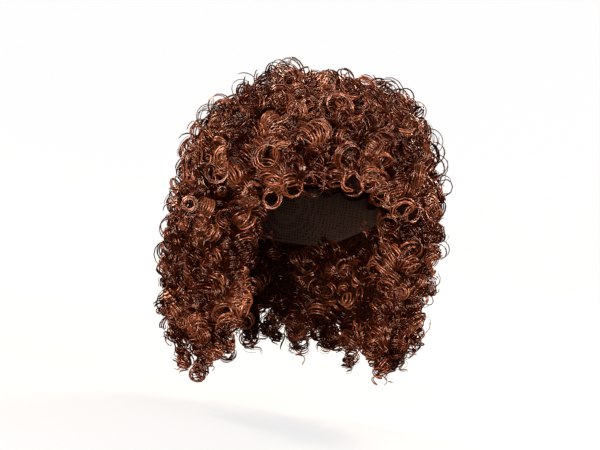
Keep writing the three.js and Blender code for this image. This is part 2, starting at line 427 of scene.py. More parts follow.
# Hanging masses: node, seed, ringlets on a lock and spacing of curls
LOWER_CURLS = (
    ("right_side_hair", 41, 1, 0.0054),
    ("left_side_hair", 57, 1, 0.0054),
    ("back_hair", 73, 1, 0.0060),
)

# Flat curls on those masses: radii, and node, seed, number, azimuths and heights
SIDE_ROSETTE_RADIUS = (0.0060, 0.0100)
SIDE_ROSETTES = (
    ("right_side_hair", 43, 44, (-118, -48), (-0.255, -0.10)),
    ("left_side_hair", 59, 44, (48, 118), (-0.240, -0.10)),
    ("back_hair", 79, 60, (120, 240), (-0.245, -0.10)),
)

# Curls inside those masses: node, seed, number, azimuths and heights
INNER_CURLS = (
    ("right_side_hair", 49, 34, (-118, -52), (-0.236, -0.115)),
    ("left_side_hair", 63, 36, (52, 118), (-0.240, -0.115)),
    ("back_hair", 83, 70, (118, 242), (-0.244, -0.140)),
)

# Curls on front edges: node, seed, number, azimuth, top, and bottom inside and outside
EDGE_CURLS = (
    ("right_side_hair", 47, 44, -50, -0.098, -0.200, -0.255),
    ("left_side_hair", 61, 48, 50, -0.098, -0.230, -0.248),
)

# Hair: tones from dark to bright, painted shade at the root, painted glints and shade in patches along
# a strand, and finish
HAIR_TONES = (
    (0.0, (0.018, 0.0013, 0.0003)),
    (0.35, (0.064, 0.0070, 0.0018)),
    (0.7, (0.160, 0.028, 0.0085)),
    (1.0, (0.350, 0.092, 0.0350)),
)
# Painted shade: strands darker towards the root, where they run deep into the curls
HAIR_ROOT_PAINTED_SHADE = ((0.0, (0.25, 0.25, 0.25)), (0.35, (1, 1, 1)), (1.0, (1, 1, 1)))
HAIR_PAINTED_GLINTS = ((0.35, (0.35, 0.35, 0.35)), (0.52, (0.8, 0.8, 0.8)), (0.68, (1, 1, 1)))
HAIR_GLINT_SCALE = (7, 0.4 * TONES, 0)
HAIR_GLINT_DETAIL = 1
HAIR_ROUGHNESS = (0.17, 0.24)
HAIR_SPECULAR = (0.28, 1.0)
HAIR_IOR = 1.75
HAIR_TINT = (1, 0.52, 0.36, 1)

# Hair under the curls: scale, detail and number of the rings that make its strands, tones of its
# painted shade, bump and finish
DARK_SCALE = 60
DARK_DETAIL = 2
DARK_RINGS = 70
UNDER_SHADE_TONES = (
    (0.0, (0.002, 0.0003, 0.0001)),
    (0.6, (0.008, 0.0012, 0.0005)),
    (1.0, (0.030, 0.005, 0.0018)),
)
DARK_BUMP = (0.8, 0.0015)
DARK_ROUGHNESS = 0.5
DARK_SPECULAR = 0.08
DARK_TINT = (1, 0.5, 0.35, 1)

# Net of the cap: its cells, tones from thread to gap, bump and finish
NET_SCALE = 330
NET_RANDOMNESS = 0.25
NET_TONES = (
    (0.0, (0.050, 0.023, 0.014)),
    (0.16, (0.040, 0.018, 0.011)),
    (0.24, (0.007, 0.003, 0.002)),
)
NET_BUMP = (0.6, 0.0006)
NET_ROUGHNESS = 0.75
NET_SPECULAR = 0.1

# Colour sockets of a mix node
MIX_FIRST = 6
MIX_SECOND = 7
MIX_RESULT = 2

# Straight down
DOWN = np.array((0, 0, -1))


def unit(vectors):
    return vectors / np.maximum(np.linalg.norm(vectors, axis=-1, keepdims=True), 1e-9)


def lerp(a, b, t):
    return a + (b - a) * t


def smoothstep(x, low, high):
    t = np.clip((x - low) / (high - low), 0, 1)
    return t * t * (3 - 2 * t)


def spline(points, place):
    """Catmull-Rom curve through rows of numbers, at a place counted in rows."""
    last = len(points) - 1
    i = np.clip(np.floor(place).astype(int), 0, last - 1)
    a, b, c, d = (points[np.clip(i + k, 0, last)] for k in (-1, 0, 1, 2))
    f = (place - i)[..., None]
    return b + 0.5 * f * (c - a + f * (2 * a - 5 * b + 4 * c - d + f * (3 * (b - c) + d - a)))


def outline_point(azimuth, level):
    z, right, left, front, back = np.moveaxis(spline(OUTLINE, level), -1, 0)
    across = np.where(np.sin(azimuth) > 0, left, right)
    along = np.where(np.cos(azimuth) > 0, front, back)
    return np.stack((across * np.sin(azimuth), -along * np.cos(azimuth), z), -1)


def outline_frame(azimuth, level):
    """Directions out of the hair, down it and sideways along it."""
    step = OUTLINE_STEP
    around = outline_point(azimuth + step, level) - outline_point(azimuth - step, level)
    down = unit(outline_point(azimuth, level + step) - outline_point(azimuth, level - step))
    out = unit(np.cross(down, around))
    return out, down, np.cross(down, out)


def level_frame(azimuth):
    """Level directions away from the upright axis and sideways."""
    away = np.array((math.sin(azimuth), -math.cos(azimuth), 0))
    return away, np.array((math.cos(azimuth), math.sin(azimuth), 0))


def level_at(z):
    return np.interp(-np.asarray(z, float), -OUTLINE[:, 0], np.arange(LAST_LEVEL + 1))


def wall_radius(azimuth, z):
    """Distance from the upright axis to the inner wall of the hair."""
    sine, cosine = np.sin(azimuth), np.cos(azimuth)
    grown = HOLLOW + UNDER_CLEARANCE
    height = np.clip(1 - ((z + HOLLOW[2]) / grown[2]) ** 2, 0, 1)
    hollow = np.sqrt(height) / np.hypot(sine / grown[0], cosine / grown[1])
    straight = OPENING_HALF_WIDTH / np.maximum(np.abs(sine), OPENING_LEAST_SINE)
    rounded = 1 / np.hypot(sine / OPENING_HALF_WIDTH, cosine / OPENING_BACK)
    room = np.where(cosine > 0, straight, rounded) + UNDER_CLEARANCE
    return np.maximum(hollow, np.where(z < OPENING_TOP, room, 0))


class Lock:
    """One lock of the solids: a path under the outline that winds slowly."""

    def __init__(self, azimuth, root, tip, root_depth, depth, phase):
        self.azimuth = azimuth
        self.levels = (level_at(root), level_at(tip))
        self.depths = (root_depth, depth)
        self.turns = (root - tip) / LOCK_PITCH
        self.phase = phase
        line = self.path(np.linspace(0, 1, LOCK_LENGTH_POINTS))[0]
        self.length = float(np.linalg.norm(np.diff(line, axis=0), axis=1).sum())

    def path(self, share):
        """Middle of the lock at shares of its length, with the directions out, down and sideways."""
        level = lerp(*self.levels, share)
        azimuth = np.full(share.shape, self.azimuth)
        depth = lerp(*self.depths, smoothstep(share, 0, LOCK_RISE))[..., None]
        out, down, aside = outline_frame(azimuth, level)
        turn = (self.phase + 2 * math.pi * self.turns * share)[..., None]
        coil = LOCK_COIL * (out * np.cos(turn) + aside * np.sin(turn))
        return outline_point(azimuth, level) - out * depth + coil, out, down, aside


def lock_rows(name):
    """Locks of one mass, row by row.

    A row has a number of locks, the azimuths of the first and last, their root height, the tip heights
    of the first and last, how much shorter every second one is, how much deeper the roots start, and
    how far behind the outer rows it lies.
    """
    rows = []
    made = 0
    for count, first, last, root, tip_first, tip_last, shorter, sink, inset in LOCK_ROWS[name]:
        depth = LOCK_DEPTH + inset
        row = []
        for i in range(count):
            share = i / (count - 1)
            azimuth = math.radians(lerp(first, last, share))
            tip = lerp(tip_first, tip_last, share) + (i % 2) * shorter
            row.append(Lock(azimuth, root, tip, depth + sink, depth, LOCK_PHASE_STEP * made))
            made += 1
        rows.append(row)
    return rows


def new_mesh(name, points, faces, places=None):
    """Mesh from points, arrays of faces of one size each, and a place on the map for each corner."""
    sizes = np.concatenate([np.full(len(f), f.shape[1]) for f in faces])
    corners = np.concatenate([f.ravel() for f in faces])
    mesh = bpy.data.meshes.new(name)
    mesh.vertices.add(len(points))
    mesh.vertices.foreach_set("co", points.astype(np.float32).ravel())
    mesh.loops.add(len(corners))
    mesh.loops.foreach_set("vertex_index", corners.astype(np.int32))
    mesh.polygons.add(len(sizes))
    starts = np.concatenate(((0,), np.cumsum(sizes)[:-1]))
    mesh.polygons.foreach_set("loop_start", starts.astype(np.int32))
    mesh.polygons.foreach_set("use_smooth", np.ones(len(sizes), bool))
    if places is not None:
        layer = mesh.uv_layers.new(name="OFBake")
        layer.uv.foreach_set("vector", places.astype(np.float32).ravel())
    mesh.update(calc_edges=True)
    mesh.validate()
    return mesh


def new_object(name, mesh, material):
    mesh.materials.append(material)
    made = bpy.data.objects.new(name, mesh)
    bpy.context.scene.collection.objects.link(made)
    return made


def inside_reach(paths):
    """Moves a whole curl that stands too far out of the solids' box back to that limit."""
    over = paths.max(axis=(0, 1)) - np.array(cad_box[1]) - REACH_OVER_BOX
    under = np.array(cad_box[0]) - REACH_OVER_BOX - paths.min(axis=(0, 1))
    return paths - np.maximum(over, 0) + np.maximum(under, 0)


class Strands:
    """Gathers tapered strands for one mesh. On its map, u runs along a strand and v is its tone."""

    def __init__(self, seed):
        self.random = np.random.default_rng(seed)
        self.points = []
        self.quads = []
        self.ends = []
        self.quad_places = []
        self.end_places = []
        self.used = 0

    def add(self, paths, facing, half_width, flatness, tone):
        """paths and facing hold a row of points for each strand; the others hold a number for each."""
        paths = inside_reach(paths)
        count, length = paths.shape[:2]
        along = unit(np.gradient(paths, axis=1))
        across = unit(facing - (facing * along).sum(-1, keepdims=True) * along)
        beside = np.cross(along, across)
        share = np.linspace(0, 1, length)
        taper = 1 - TIP_TAPER * share**TIP_TAPER_POWER
        taper = taper * lerp(ROOT_WIDTH, 1, smoothstep(share, 0, ROOT_SHARE))
        corner = 2 * math.pi * np.arange(STRAND_SIDES) / STRAND_SIDES
        rim = flatness[:, None, None, None] * across[:, :, None] * np.cos(corner)[:, None]
        rim = rim + beside[:, :, None] * np.sin(corner)[:, None]
        width = half_width[:, None] * taper
        self.points.append((paths[:, :, None] + width[:, :, None, None] * rim).reshape(-1, 3))

        shape = (count, length, STRAND_SIDES)
        index = self.used + np.arange(math.prod(shape)).reshape(shape)
        after = np.roll(index, -1, axis=2)
        quads = np.stack((index[:, :-1], after[:, :-1], after[:, 1:], index[:, 1:]), -1)
        self.quads.append(quads.reshape(-1, 4))
        self.ends.append(np.concatenate((index[:, 0, ::-1], index[:, -1])))
        self.used += index.size

        row = np.minimum(np.floor(tone * TONES), TONES - 1)
        v = (row[:, None] + np.linspace(*TONE_ROW_USED, STRAND_SIDES + 1)) / TONES
        u = np.broadcast_to(share[None, :, None], (count, length, STRAND_SIDES + 1))
        place = np.stack((u, np.broadcast_to(v[:, None], u.shape)), -1)
        here, there = place[:, :-1], place[:, 1:]
        corners = (here[:, :, :-1], here[:, :, 1:], there[:, :, 1:], there[:, :, :-1])
        self.quad_places.append(np.stack(corners, 3).reshape(-1, 2))
        ends = np.concatenate((place[:, 0, STRAND_SIDES - 1 :: -1], place[:, -1, :STRAND_SIDES]))
        self.end_places.append(ends.reshape(-1, 2))

    def wind(self, guide, reference, radius, turns, ribbons, fibres, tone, loose=1):
        """A curl: a band of ribbons and fibres, side by side, that winds round a guide line."""
        random = self.random
        count = ribbons + fibres
        share = np.linspace(0, 1, len(guide))
        along = unit(np.gradient(guide, axis=0))
        across = unit(reference - (reference * along).sum(-1, keepdims=True) * along)
        beside = np.cross(along, across)
        half_width = np.concatenate(
            (random.uniform(*RIBBON_HALF_WIDTH, ribbons), random.uniform(*FIBRE_HALF_WIDTH, fibres))
        )
        flatness = np.repeat((RIBBON_FLATNESS, FIBRE_FLATNESS), (ribbons, fibres))
        rank = np.linspace(-0.5, 0.5, count)[:, None]
        place = np.cumsum(2 * half_width) - half_width
        place = BAND_PACKING * (place - place.mean())[:, None]
        place = place + random.normal(0, BAND_JITTER, (count, 1))
        hand = random.choice((-1, 1))
        wave = share * random.uniform(*TURN_WAVES) + random.uniform(0, 1)
        uneven = TURN_WAVE * np.sin(2 * math.pi * wave)
        angle = 2 * math.pi * turns * share + uneven + random.uniform(0, 2 * math.pi)
        drift = random.normal(0, ROOT_DRIFT, (count, 1))
        drift = drift + random.normal(0, TIP_DRIFT, (count, 1)) * share
        angle = hand * (angle + loose * drift)
        wave = share * random.uniform(*SIZE_WAVES) + random.uniform(0, 1)
        size = 1 + SIZE_WAVE * np.sin(2 * math.pi * wave) + random.uniform(-SIZE_LEAN, SIZE_LEAN) * rank
        size = size + loose * random.normal(0, SIZE_JITTER, (count, 1))
        shift = loose * random.normal(0, TIP_SHIFT, (count, 1, 3)) * share[:, None] ** 2
        radial = across * np.cos(angle)[..., None] + beside * np.sin(angle)[..., None]
        spread = place * lerp(*BAND_SPREAD, share)
        paths = guide + shift + spread[..., None] * along + (radius * size)[..., None] * radial
        tones = np.clip(tone + random.normal(0, TONE_JITTER, count), *TONE_LIMITS)
        self.add(paths, radial, half_width, flatness, tones)

    def mesh(self, name):
        faces = [np.concatenate(self.quads), np.concatenate(self.ends)]
        places = np.concatenate(self.quad_places + self.end_places)
        return new_mesh(name, np.concatenate(self.points), faces, places)


def points_for(turns, radius):
    return max(round(turns * np.interp(radius, *POINTS_PER_TURN)) + 1, LEAST_POINTS)


def any_tone(random, point):
    """Tone of one curl at a point, from dark brown at 0 to copper at 1."""
    clump = CLUMP_STRENGTH * np.sin(CLUMP_WAVES @ point + CLUMP_PHASES).sum()
    return np.clip(random.beta(*TONE_SHAPE) + clump, 0, 1)


def add_curl(strands, start, axis, aside, reach, radius, narrowing):
    """A short curl that stands out along an axis, narrows to its tip and droops."""
    random = strands.random
    turns = random.uniform(*CURL_TURNS)
    step = np.linspace(0, 1, points_for(turns, radius))
    bend = np.array((*random.normal(0, CURL_BEND, 2), -random.uniform(*CURL_DROOP)))
    guide = start + axis * reach * step[:, None] + bend * step[:, None] ** 2
    size = radius * (CURL_ROOT_SIZE - narrowing * step)
    size = size * (1 - CURL_END_TAPER * smoothstep(step, *CURL_END))
    ribbons = random.integers(*CURL_RIBBONS, endpoint=True) - int(radius < SMALL_RADIUS)
    fibres = random.integers(*CURL_FIBRES, endpoint=True)
    strands.wind(guide, aside, size, turns, ribbons, fibres, any_tone(random, start))


def add_facing_curl(strands, start, out, down, aside, reach, radius):
    """A curl that faces outwards, seen as rings one in another, or lies on its side."""
    random = strands.random
    if random.uniform() < FACING_SHARE:
        axis = out + aside * random.normal(0, FACING_LEAN)
        axis = axis + down * random.normal(FACING_SAG, FACING_LEAN)
        narrowing = random.uniform(*FACING_NARROWING)
        reach = FACING_REACH * reach
        radius = FACING_SIZE * radius
    else:
        swing = random.uniform(-LYING_SWING, LYING_SWING)
        axis = out * math.cos(swing) + aside * math.sin(swing) + down * random.uniform(*LYING_SAG)
        narrowing = random.uniform(*LYING_NARROWING)
    add_curl(strands, start, unit(axis), aside, reach, radius, narrowing)


def add_curls(strands, lock, spacing, radii, reaches, shares=(0, 1)):
    """Curls that stand out all round a part of a lock like the bristles of a brush."""
    random = strands.random
    count = round(lock.length * (shares[1] - shares[0]) / spacing)
    for i in range(count):
        share = np.array([lerp(*shares, (i + random.uniform(0, 1)) / count)])
        middle, out, down, aside = (x[0] for x in lock.path(share))
        around = random.uniform(-CURL_AROUND, CURL_AROUND)
        side = out * math.cos(around) + aside * math.sin(around)
        start = middle + random.uniform(*CURL_OFFSET) * side
        reach = random.uniform(*reaches)
        add_facing_curl(strands, start, out, down, aside, reach, random.uniform(*radii))


def wavy(random, guide, share):
    """A guide line with slow sideways waves."""
    for _ in range(SWAY_COUNT):
        wave = np.sin(2 * math.pi * (share * random.uniform(*SWAY_WAVES) + random.uniform(0, 1)))
        guide = guide + random.normal(0, SWAY_SIZE, 3) * wave[:, None]
    return guide


def even_places(random, count, azimuths, heights):
    """Azimuths and levels spread evenly over the outline: each is the best of several tries."""
    chosen = np.empty((0, 2))
    points = np.empty((0, 3))
    for _ in range(count):
        azimuth = np.radians(random.uniform(*azimuths, EVEN_TRIES))
        level = level_at(random.uniform(*heights, EVEN_TRIES))
        tries = outline_point(azimuth, level)
        apart = np.linalg.norm(tries[:, None] - points, axis=2).min(axis=1, initial=1)
        best = np.argmax(apart)
        chosen = np.vstack((chosen, (azimuth[best], level[best])))
        points = np.vstack((points, tries[best]))
    return chosen[:, 0], chosen[:, 1]


def spread_over(random, count, azimuths, heights):
    """Points spread evenly over the outline, with the directions out, down and sideways there."""
    azimuth, level = even_places(random, count, azimuths, heights)
    return zip(outline_point(azimuth, level), *outline_frame(azimuth, level))


def add_fill_curls(strands, count, azimuths, heights):
    """Curls spread over the hair between the locks."""
    random = strands.random
    for point, out, down, aside in spread_over(random, count, azimuths, heights):
        start = point - out * random.uniform(*FILL_DEPTH)
        reach = random.uniform(*FILL_REACH)
        add_facing_curl(strands, start, out, down, aside, reach, random.uniform(*FILL_RADIUS))


def add_rosettes(strands, count, azimuths, heights, radii):
    """Large flat curls on top of the others, seen as rings one in another."""
    random = strands.random
    for point, out, down, aside in spread_over(random, count, azimuths, heights):
        axis = out + aside * random.normal(0, ROSETTE_LEAN)
        axis = unit(axis + down * random.normal(0, ROSETTE_LEAN))
        radius = random.uniform(*radii)
        turns = random.uniform(*ROSETTE_TURNS)
        step = np.linspace(0, 1, points_for(turns, radius))
        start = point - out * random.uniform(*ROSETTE_DEPTH)
        guide = start + axis * random.uniform(*ROSETTE_LENGTH) * step[:, None]
        size = radius * (CURL_ROOT_SIZE - random.uniform(*ROSETTE_NARROWING) * step)
        tone = lerp(*ROSETTE_TONES, any_tone(random, point))
        fibres = random.integers(*ROSETTE_FIBRES, endpoint=True)
        strands.wind(guide, down, size, turns, ROSETTE_RIBBONS, fibres, tone, ROSETTE_LOOSE)


def add_fringe_loops(strands):
    """Open loops along the lower edge of the fringe."""
    random = strands.random
    for degrees, height in FRINGE_LOOPS:
        azimuth = np.array([math.radians(degrees)])
        level = level_at(np.array([height]))
        out, down, aside = (x[0] for x in outline_frame(azimuth, level))
        axis = outline_frame(LOOP_FACING * azimuth, level)[0][0]
        axis = axis + aside * random.normal(0, LOOP_LEAN)
        axis = unit(axis + down * random.normal(LOOP_SAG, LOOP_LEAN))
        start = outline_point(azimuth, level)[0] - out * random.uniform(*LOOP_DEPTH)
        turns = random.uniform(*LOOP_TURNS)
        radius = random.uniform(*LOOP_RADIUS)
        step = np.linspace(0, 1, points_for(turns, radius))
        guide = start + axis * LOOP_LENGTH * step[:, None]
        size = radius * (CURL_ROOT_SIZE - LOOP_NARROWING * step)
        tone = random.uniform(*LOOP_TONES)
        strands.wind(guide, down, size, turns, LOOP_RIBBONS, LOOP_FIBRES, tone)


def add_ringlets(strands, lock, count):
    """Long ringlets that hang side by side along a lock."""
    random = strands.random
    turned = random.uniform(0, 2 * math.pi)
    for i in range(count):
        around = turned + 2 * math.pi * (i + random.uniform(-RINGLET_TURN, RINGLET_TURN)) / count
        apart = random.uniform(*RINGLET_APART)
        first = random.uniform(*RINGLET_FIRST)
        last = random.uniform(*RINGLET_LAST)
        turns = lock.length * (last - first) / random.uniform(*RINGLET_PITCH)
        radius = random.uniform(*RINGLET_RADIUS)
        share = np.linspace(first, last, points_for(turns, radius))
        middle, out, down, aside = lock.path(share)
        guide = middle + apart * (out * math.cos(around) + aside * math.sin(around))
        wave = share * random.uniform(*RINGLET_BULGES) + random.uniform(0, 1)
        size = radius * (1 + RINGLET_BULGE * np.sin(2 * math.pi * wave))
        size = size * (1 - RINGLET_END_TAPER * smoothstep(share, *RINGLET_END))
        ribbons = random.integers(*RINGLET_RIBBONS, endpoint=True)
        line = wavy(random, guide, share)
        strands.wind(line, out, size, turns, ribbons, RINGLET_FIBRES, any_tone(random, guide[0]))


def add_inner_curls(strands, count, azimuths, heights):
    """Curls on the inner wall of a hanging mass."""
    random = strands.random
    azimuth, level = even_places(random, count, azimuths, heights)
    z = outline_point(azimuth, level)[:, 2]
    for direction, height, away in zip(azimuth, z, wall_radius(azimuth, z)):
        heading, aside = level_frame(direction)
        start = (away + random.uniform(*INNER_OFFSET)) * heading - DOWN * height
        reach = random.uniform(*INNER_REACH)
        add_facing_curl(strands, start, -heading, DOWN, aside, reach, random.uniform(*INNER_RADIUS))


def add_edge_curls(strands, count, azimuth, top, bottom_inner, bottom_outer):
    """Curls on the front edge of a hanging mass, which face the way that edge faces."""
    random = strands.random
    heading, aside = level_frame(azimuth)
    facing = -math.copysign(1, azimuth) * aside
    for i in range(count):
        across = random.uniform(0, 1)
        z = lerp(top, lerp(bottom_inner, bottom_outer, across), (i + random.uniform(0, 1)) / count)
        surface = np.linalg.norm(outline_point(azimuth, level_at(z))[:2])
        away = lerp(wall_radius(azimuth, z), surface - EDGE_INSET, across)
        start = away * heading - DOWN * z - facing * random.uniform(*EDGE_DEPTH)
        reach = random.uniform(*EDGE_REACH)
        add_facing_curl(strands, start, facing, DOWN, heading, reach, random.uniform(*EDGE_RADIUS))


def add_fly_aways(strands, count, azimuths, heights, tilt):
    """Single dark loops that stand out of the outline."""
    random = strands.random
    for point, out, down, aside in spread_over(random, count, azimuths, heights):
        swing = random.normal(0, tilt)
        axis = unit(aside * math.cos(swing) + down * math.sin(swing) + out * random.normal(0, FLY_LEAN))
        turns = random.uniform(*FLY_TURNS)
        radius = random.uniform(*FLY_RADIUS)
        step = np.linspace(-0.5, 0.5, points_for(turns * FLY_FINER, radius))
        middle = point + out * random.uniform(*FLY_OFFSET)
        guide = middle + axis * random.uniform(*FLY_LENGTH) * step[:, None]
        size = radius * (1 + random.normal(0, FLY_NARROWING) * step)
        ribbons = random.integers(*FLY_RIBBONS, endpoint=True)
        strands.wind(guide, out, size, turns, ribbons, 0, FLY_TONE * any_tone(random, point))


def hair_piece(name, node, strands, material):
    piece = new_object(name, strands.mesh(name), material)
    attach(piece, "root")
    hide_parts(node)


def closed_shell(outer, inner):
    """Points and faces of a wall between two grids of the same size, closed along all four edges."""
    rows, columns = outer.shape[:2]
    points = np.concatenate((outer.reshape(-1, 3), inner.reshape(-1, 3)))
    a = np.arange(rows * columns).reshape(rows, columns)
    b = a + rows * columns
    skins = [
        np.stack((a[:-1, :-1], a[1:, :-1], a[1:, 1:], a[:-1, 1:]), -1).reshape(-1, 4),
        np.stack((b[:-1, :-1], b[:-1, 1:], b[1:, 1:], b[1:, :-1]), -1).reshape(-1, 4),
    ]
    rim = np.concatenate((a[:-1, 0], a[-1, :-1], a[:0:-1, -1], a[0, :0:-1]))
    after = np.roll(rim, -1)
    skins.append(np.stack((rim, rim + rows * columns, after + rows * columns, after), -1))
    return points, np.concatenate(skins)


def under_hair_part(first, last, hem_first, hem_last, seed):
    """Wall of hair under the curls, painted dark as shade, over one sector, from the crown to a ragged
    hem.
    """
    random = np.random.default_rng(seed)
    columns = max(round(math.radians(last - first) * UNDER_RADIUS / UNDER_STEP), UNDER_LEAST_COLUMNS)
    azimuth = np.radians(np.linspace(first, last, columns))
    teeth = columns // UNDER_COLUMNS_PER_TOOTH + 2
    tooth = np.linspace(0, teeth - 1, columns)
    ragged = np.interp(tooth, np.arange(teeth), random.uniform(-1, 1, teeth))
    hem = np.linspace(hem_first, hem_last, columns) + UNDER_RAGGED * ragged
    rows = round((OUTLINE[0, 0] - hem.min()) / UNDER_STEP)
    share = np.linspace(0, 1, rows)[:, None]
    level = lerp(UNDER_TOP_LEVEL, level_at(hem), share)
    azimuth = np.broadcast_to(azimuth, level.shape)
    out = outline_frame(azimuth, level)[0]
    surface = outline_point(azimuth, level)
    lumps = sum(
        np.sin(surface @ random.normal(0, UNDER_LUMP_WAVE, 3) + random.uniform(0, 2 * math.pi))
        for _ in range(UNDER_LUMPS)
    )
    outer = surface - out * (UNDER_DEPTH + UNDER_LUMP * lumps)[..., None]
    x, y, z = np.moveaxis(outer, -1, 0)
    z = np.where(z > -HOLLOW[2], z - UNDER_INNER_DROP, z)
    z = np.minimum(z, UNDER_CLEARANCE - UNDER_TOP_GAP)
    away = np.minimum(wall_radius(azimuth, z), np.hypot(x, y) - UNDER_LEAST_WALL)
    inner = np.stack((away * np.sin(azimuth), -away * np.cos(azimuth), z), -1)
    return closed_shell(outer, inner)


def under_hair_piece(material):
    """Hair under the curls, painted dark as shade, that shows between and behind them."""
    points = []
    faces = []
    for seed, sector in enumerate(UNDER_HEMS):
        part_points, part_faces = under_hair_part(*sector, seed)
        faces.append(part_faces + sum(map(len, points)))
        points.append(part_points)
    mesh = new_mesh("under_hair", np.concatenate(points), [np.concatenate(faces)])
    piece = new_object("under_hair", mesh, material)
    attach(piece, "root")


def cap_piece(material):
    """The net cap: a thin dome with rows of sewn wefts inside and a bound edge."""
    edge = spline(CAP_EDGE, np.linspace(0, len(CAP_EDGE) - 1, CAP_EDGE_POINTS))
    azimuth = np.linspace(0, 2 * math.pi, CAP_AROUND + 1)
    polar = np.linspace(0, *CAP_SEARCH)[:, None]
    z = HOLLOW[2] * (np.cos(polar) - 1)
    y = -HOLLOW[1] * np.sin(polar) * np.cos(azimuth)
    over_edge = z > np.interp(y, edge[:, 0], edge[:, 1])
    lowest = polar[:, 0][np.argmin(over_edge, axis=0)]
    share = np.linspace(CAP_POLE, 1, CAP_DOWN)[:, None]
    polar = share * lowest
    sine = np.sin(polar)
    ray = np.stack((sine * np.sin(azimuth), -sine * np.cos(azimuth), np.cos(polar)), -1)
    from_edge = (1 - share) * lowest * HOLLOW.mean()
    weft = np.cos(2 * math.pi * from_edge / WEFT_SPACING)
    inset = WEFT_HEIGHT * smoothstep(weft, *WEFT_RISE) + BINDING_HEIGHT * (from_edge < BINDING_WIDTH)
    middle = np.array((0, 0, -HOLLOW[2]))
    outer = middle + ray * (HOLLOW + CAP_WALL)
    inner = middle + ray * (HOLLOW - inset[..., None])
    points, faces = closed_shell(outer, inner)
    piece = new_object("cap_net", new_mesh("cap_net", points, [faces]), material)
    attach(piece, "root")
    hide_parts("cap")


def add_node(tree, kind, **values):
    node = tree.nodes.new(kind)
    for key, value in values.items():
        setattr(node, key, value)
    return node


def new_material(name):
    material = bpy.data.materials.new(name)
    material.use_nodes = True
    tree = material.node_tree
    return material, tree, tree.nodes["Principled BSDF"]


def add_ramp(tree, source, stops):
    ramp = add_node(tree, "ShaderNodeValToRGB")
    elements = ramp.color_ramp.elements
    while len(elements) < len(stops):
        elements.new(0.5)
    for element, (position, colour) in zip(elements, stops):
        element.position = position
        element.color = (*colour, 1)
    tree.links.new(source, ramp.inputs["Fac"])
    return ramp.outputs["Color"]


def set_inputs(node, values):
    for name, value in values.items():
        node.inputs[name].default_value = value


def add_noise(tree, place, detail, scale=1):
    noise = add_node(tree, "ShaderNodeTexNoise")
    set_inputs(noise, {"Scale": scale, "Detail": detail})
    tree.links.new(place, noise.inputs["Vector"])
    return noise.outputs["Fac"]


def add_range(tree, value, before, after, kind="LINEAR"):
    """A value carried over from one range to another."""
    node = add_node(tree, "ShaderNodeMapRange", interpolation_type=kind)
    set_inputs(node, {"From Min": before[0], "From Max": before[1]})
    set_inputs(node, {"To Min": after[0], "To Max": after[1]})
    tree.links.new(value, node.inputs["Value"])
    return node.outputs["Result"]


def add_bump(tree, shader, height, size, **values):
    bump = add_node(tree, "ShaderNodeBump", **values)
    set_inputs(bump, {"Strength": size[0], "Distance": size[1]})
    tree.links.new(height, bump.inputs["Height"])
    tree.links.new(bump.outputs["Normal"], shader.inputs["Normal"])


def hair_material():
    """Glossy fibre: a tone for each strand, with painted glints and shade along it and painted shade at
    the root.
    """
    material, tree, shader = new_material("hair")
    place = add_node(tree, "ShaderNodeUVMap", uv_map="OFBake")
    parts = add_node(tree, "ShaderNodeSeparateXYZ")
    tree.links.new(place.outputs["UV"], parts.inputs["Vector"])
    along, tone = parts.outputs["X"], parts.outputs["Y"]
    stretched = add_node(tree, "ShaderNodeVectorMath", operation="MULTIPLY")
    stretched.inputs[1].default_value = HAIR_GLINT_SCALE
    tree.links.new(place.outputs["UV"], stretched.inputs[0])
    noise = add_noise(tree, stretched.outputs["Vector"], HAIR_GLINT_DETAIL)
    colour = add_ramp(tree, tone, HAIR_TONES)
    # Multiplies the tone by painted shade at the root and by painted glints and shade along the strand
    for shade in (add_ramp(tree, along, HAIR_ROOT_PAINTED_SHADE), add_ramp(tree, noise, HAIR_PAINTED_GLINTS)):
        blend = add_node(tree, "ShaderNodeMix", data_type="RGBA", blend_type="MULTIPLY")
        blend.inputs["Factor"].default_value = 1
        tree.links.new(colour, blend.inputs[MIX_FIRST])
        tree.links.new(shade, blend.inputs[MIX_SECOND])
        colour = blend.outputs[MIX_RESULT]
    tree.links.new(colour, shader.inputs["Base Color"])
    tree.links.new(add_range(tree, tone, (0, 1), HAIR_ROUGHNESS), shader.inputs["Roughness"])
    tree.links.new(add_range(tree, tone, (0, 1), HAIR_SPECULAR), shader.inputs["Specular IOR Level"])
    set_inputs(shader, {"IOR": HAIR_IOR, "Specular Tint": HAIR_TINT})
    return material


def under_hair_material():
    """Wavy strands under the curls, coloured near black as painted shade."""
    material, tree, shader = new_material("under_hair")
    place = add_node(tree, "ShaderNodeTexCoord")
    rings = add_node(tree, "ShaderNodeMath", operation="MULTIPLY")
    rings.inputs[1].default_value = DARK_RINGS
    noise = add_noise(tree, place.outputs["Object"], DARK_DETAIL, DARK_SCALE)
    tree.links.new(noise, rings.inputs[0])
    wave = add_node(tree, "ShaderNodeMath", operation="SINE")
    tree.links.new(rings.outputs["Value"], wave.inputs[0])
    level = add_range(tree, wave.outputs["Value"], (-1, 1), (0, 1))
    # Near-black tones: painted shade of the hair deep under the curls
    tree.links.new(add_ramp(tree, level, UNDER_SHADE_TONES), shader.inputs["Base Color"])
    add_bump(tree, shader, level, DARK_BUMP)
    set_inputs(shader, {"Roughness": DARK_ROUGHNESS, "Specular IOR Level": DARK_SPECULAR})
    set_inputs(shader, {"Specular Tint": DARK_TINT})
    return material


def cap_material():
    """Dark stretch net."""
    material, tree, shader = new_material("cap_net")
    place = add_node(tree, "ShaderNodeTexCoord")
    cells = add_node(tree, "ShaderNodeTexVoronoi", feature="DISTANCE_TO_EDGE")
    set_inputs(cells, {"Scale": NET_SCALE, "Randomness": NET_RANDOMNESS})
    tree.links.new(place.outputs["Object"], cells.inputs["Vector"])
    tree.links.new(add_ramp(tree, cells.outputs["Distance"], NET_TONES), shader.inputs["Base Color"])
    add_bump(tree, shader, cells.outputs["Distance"], NET_BUMP, invert=True)
    set_inputs(shader, {"Roughness": NET_ROUGHNESS, "Specular IOR Level": NET_SPECULAR})
    return material


